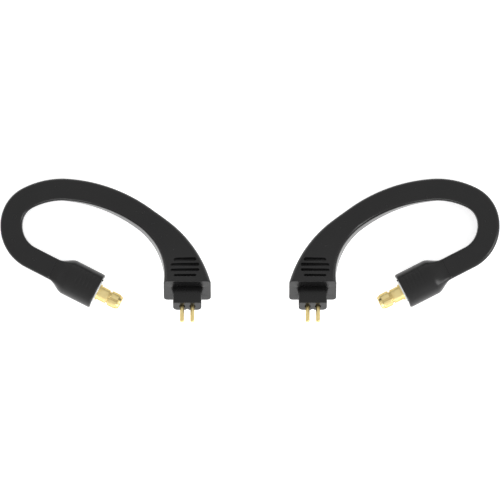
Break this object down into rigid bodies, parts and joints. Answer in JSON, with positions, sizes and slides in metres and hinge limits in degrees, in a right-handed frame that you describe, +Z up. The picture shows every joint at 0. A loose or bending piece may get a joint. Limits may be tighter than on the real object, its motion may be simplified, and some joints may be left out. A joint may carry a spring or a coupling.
{
  "type": "in-ear monitor ear hooks",
  "caption": "Mirrored pair of moulded ear hooks with a flat two-pin plug at the wide end and a round snap plug at the thin end.",
  "frame": {"origin": "bottom centre of the pair's box, on the table that the hooks lie on", "axes": "+X from the left hook to the right hook, +Y from the plugs to the crowns of the loops, +Z up from the table"},
  "size_m": [0.097, 0.0279, 0.0155],
  "materials": {
    "jacket_rubber": "satin moulded elastomer",
    "block_plastic": "matt moulded",
    "housing_rubber": "satin moulded",
    "gold": "gold plated, polished",
    "end_ring_steel": "polished",
    "ferrule_tin": "tin plated",
    "memory_steel": "drawn",
    "copper": "tinned copper strands",
    "white_plastic": "matt",
    "red_plastic": "matt",
    "resin": "set resin",
    "sleeve_plastic": "shrunk sleeve"
  },
  "bodies": {
    "left_hook": {"left_jacket": "jacket_rubber", "left_plug_block": "block_plastic", "left_signal_pin": "gold", "left_ground_pin": "gold", "left_potting": "resin", "left_signal_sleeve": "sleeve_plastic", "left_ground_sleeve": "sleeve_plastic", "left_memory_wire": "memory_steel", "left_signal_insulation": "red_plastic", "left_signal_core": "copper", "left_ground_insulation": "white_plastic", "left_ground_core": "copper"},
    "left_monitor_end": {"left_housing": "housing_rubber", "left_end_ring": "end_ring_steel", "left_inner_mould": "white_plastic", "left_shell": "gold", "left_snap_ring": "gold", "left_dielectric": "white_plastic", "left_contact": "gold", "left_ferrule": "ferrule_tin"},
    "right_hook": {"right_jacket": "jacket_rubber", "right_plug_block": "block_plastic", "right_signal_pin": "gold", "right_ground_pin": "gold", "right_potting": "resin", "right_signal_sleeve": "sleeve_plastic", "right_ground_sleeve": "sleeve_plastic", "right_memory_wire": "memory_steel", "right_signal_insulation": "red_plastic", "right_signal_core": "copper", "right_ground_insulation": "white_plastic", "right_ground_core": "copper"},
    "right_monitor_end": {"right_housing": "housing_rubber", "right_end_ring": "end_ring_steel", "right_inner_mould": "white_plastic", "right_shell": "gold", "right_snap_ring": "gold", "right_dielectric": "white_plastic", "right_contact": "gold", "right_ferrule": "ferrule_tin"}
  },
  "joints": [
    {"name": "left_loop_flex", "type": "hinge", "parent": "left_hook", "child": "left_monitor_end", "pos_m": [-0.04618, 0.00632, 0.0021], "axis": [0, 0, 1], "range_deg": [-20, 12], "stiffness_Nm_per_rad": 0.02, "deforming": ["left_jacket", "left_memory_wire", "left_signal_insulation", "left_signal_core", "left_ground_insulation", "left_ground_core"]},
    {"name": "right_loop_flex", "type": "hinge", "parent": "right_hook", "child": "right_monitor_end", "pos_m": [0.04618, 0.00632, 0.0021], "axis": [0, 0, -1], "range_deg": [-20, 12], "stiffness_Nm_per_rad": 0.02, "deforming": ["right_jacket", "right_memory_wire", "right_signal_insulation", "right_signal_core", "right_ground_insulation", "right_ground_core"]},
    {"name": "right_hook_lift", "type": "slide", "parent": "left_hook", "child": "right_hook", "axis": [0, 0, 1], "range_m": [0, 0.03]}
  ]
}
